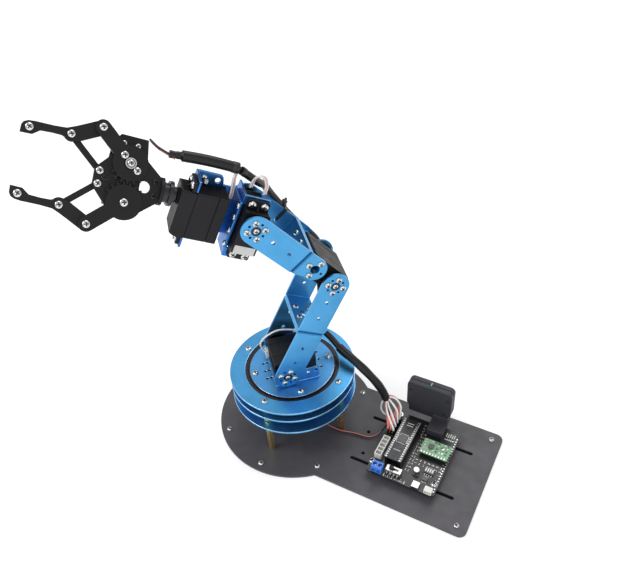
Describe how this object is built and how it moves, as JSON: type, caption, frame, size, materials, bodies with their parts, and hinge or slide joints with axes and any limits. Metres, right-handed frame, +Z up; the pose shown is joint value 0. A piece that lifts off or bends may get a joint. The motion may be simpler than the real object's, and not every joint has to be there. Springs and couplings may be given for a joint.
{
  "type": "desktop robot arm",
  "caption": "Jointed desktop robot arm on a slewing base, with bracketed servo joints, a geared parallel gripper and a controller board on its base plate.",
  "frame": {"origin": "on the slewing axis, at the underside of the base plate", "axes": "+Z up along the slewing axis, +X along the base plate towards the controller board"},
  "size_m": [0.3215, 0.2131, 0.3481],
  "materials": {
    "blue_anodised": "satin blue anodised sheet",
    "black_plate": "matt black powder-coated sheet",
    "black_link": "satin black anodised plate",
    "servo_case": "fine-grained black moulding",
    "horn_metal": "dark oxide steel",
    "bright_steel": "bright turned steel",
    "brass": "turned brass",
    "board_black": "black solder mask",
    "board_green": "green solder mask",
    "blue_plastic": "satin moulding",
    "white_plastic": "satin moulding",
    "black_plastic": "satin moulding",
    "braided_sleeve": "woven nylon sleeve",
    "wire": "bundled insulated wires"
  },
  "bodies": {
    "base": {"base_plate": "black_plate", "base_column_1": "brass", "base_column_2": "brass", "base_column_3": "brass", "base_column_4": "brass", "ring_spacer_1": "brass", "ring_spacer_2": "brass", "ring_spacer_3": "brass", "ring_spacer_4": "brass", "lower_disc": "blue_anodised", "middle_disc": "blue_anodised", "top_ring": "blue_anodised", "bearing_outer_race": "horn_metal", "pan_servo": "servo_case", "controller_board": "board_black", "processor_board": "board_black", "radio_board": "board_green", "power_terminal": "blue_plastic", "bus_connector": "white_plastic", "pin_header": "black_plastic", "slide_switch": "bright_steel", "wireless_receiver": "servo_case", "base_sleeve": "braided_sleeve", "pan_servo_lead": "wire"},
    "switch_knob": {"slide_switch_knob": "black_plastic"},
    "turntable": {"turntable_disc": "blue_anodised", "bearing_inner_race": "bright_steel", "pan_horn": "horn_metal", "shoulder_bracket": "blue_anodised", "shoulder_servo": "servo_case", "upper_arm_sleeve": "braided_sleeve"},
    "upper_arm": {"lower_arm_bracket": "blue_anodised", "upper_arm_bracket": "blue_anodised", "shoulder_horn": "horn_metal", "shoulder_idler": "horn_metal", "elbow_horn": "horn_metal", "elbow_idler": "horn_metal", "elbow_sleeve": "braided_sleeve"},
    "forearm": {"elbow_servo": "servo_case", "elbow_servo_cradle": "blue_anodised", "forearm_bracket": "blue_anodised", "wrist_pitch_horn": "horn_metal", "wrist_pitch_idler": "horn_metal", "forearm_sleeve": "braided_sleeve"},
    "wrist": {"wrist_pitch_servo": "servo_case", "wrist_pitch_bracket": "blue_anodised", "wrist_roll_bracket": "blue_anodised", "wrist_roll_servo": "servo_case", "wrist_sleeve": "braided_sleeve"},
    "hand": {"wrist_roll_horn": "horn_metal", "palm_bracket": "black_link", "gripper_servo": "servo_case", "gripper_servo_lead": "wire"},
    "drive_link": {"drive_gear_link": "black_link", "gripper_horn": "bright_steel"},
    "driven_link": {"driven_gear_link": "black_link"},
    "upper_coupler": {"upper_inner_link": "black_link"},
    "lower_coupler": {"lower_inner_link": "black_link"},
    "upper_jaw": {"upper_finger": "black_link"},
    "lower_jaw": {"lower_finger": "black_link"}
  },
  "joints": [
    {"name": "pan", "type": "hinge", "parent": "base", "child": "turntable", "pos_m": [0, 0, 0.0684], "axis": [0, 0, 1], "range_deg": [-133, 47], "deforming": ["base_sleeve"]},
    {"name": "shoulder", "type": "hinge", "parent": "turntable", "child": "upper_arm", "pos_m": [-0.00658, -0.00614, 0.0834], "axis": [0.682, -0.7314, 0], "range_deg": [-45, 80], "deforming": ["upper_arm_sleeve"]},
    {"name": "elbow", "type": "hinge", "parent": "upper_arm", "child": "forearm", "pos_m": [0.02939, 0.02741, 0.1791], "axis": [-0.682, 0.7314, 0], "range_deg": [-22, 120], "deforming": ["elbow_sleeve"]},
    {"name": "wrist_pitch", "type": "hinge", "parent": "forearm", "child": "wrist", "pos_m": [-0.01389, -0.01296, 0.24928], "axis": [0.682, -0.7314, 0], "range_deg": [-103, 57], "deforming": ["forearm_sleeve"]},
    {"name": "wrist_roll", "type": "hinge", "parent": "wrist", "child": "hand", "pos_m": [-0.05268, -0.04912, 0.27736], "axis": [-0.6525, -0.6085, 0.4517], "range_deg": [-120, 55], "deforming": ["gripper_servo_lead"]},
    {"name": "gripper_drive", "type": "hinge", "parent": "hand", "child": "drive_link", "pos_m": [-0.07277, -0.06524, 0.30788], "axis": [-0.7512, 0.441, -0.4911], "range_deg": [-37, 17]},
    {"name": "gripper_driven", "type": "hinge", "parent": "hand", "child": "driven_link", "pos_m": [-0.06996, -0.08385, 0.28687], "axis": [-0.7512, 0.441, -0.4911], "range_deg": [-17, 37]},
    {"name": "upper_inner_pivot", "type": "hinge", "parent": "hand", "child": "upper_coupler", "pos_m": [-0.08855, -0.0809, 0.30695], "axis": [-0.7512, 0.441, -0.4911], "range_deg": [-37, 17]},
    {"name": "lower_inner_pivot", "type": "hinge", "parent": "hand", "child": "lower_coupler", "pos_m": [-0.08762, -0.08703, 0.30002], "axis": [-0.7512, 0.441, -0.4911], "range_deg": [-17, 37]},
    {"name": "upper_finger_pivot", "type": "hinge", "parent": "drive_link", "child": "upper_jaw", "pos_m": [-0.0903, -0.06499, 0.33226], "axis": [-0.7512, 0.441, -0.4911], "range_deg": [-17, 37]},
    {"name": "lower_finger_pivot", "type": "hinge", "parent": "driven_link", "child": "lower_jaw", "pos_m": [-0.08349, -0.11008, 0.28135], "axis": [-0.7512, 0.441, -0.4911], "range_deg": [-37, 17]},
    {"name": "power_switch", "type": "slide", "parent": "base", "child": "switch_knob", "axis": [1, 0, 0], "range_m": [0, 0.0042]}
  ],
  "couplings": [
    {"joint": "gripper_driven", "follows": "gripper_drive", "ratio": -1},
    {"joint": "upper_inner_pivot", "follows": "gripper_drive", "ratio": 1},
    {"joint": "lower_inner_pivot", "follows": "gripper_drive", "ratio": -1},
    {"joint": "upper_finger_pivot", "follows": "gripper_drive", "ratio": -1},
    {"joint": "lower_finger_pivot", "follows": "gripper_drive", "ratio": 1}
  ]
}
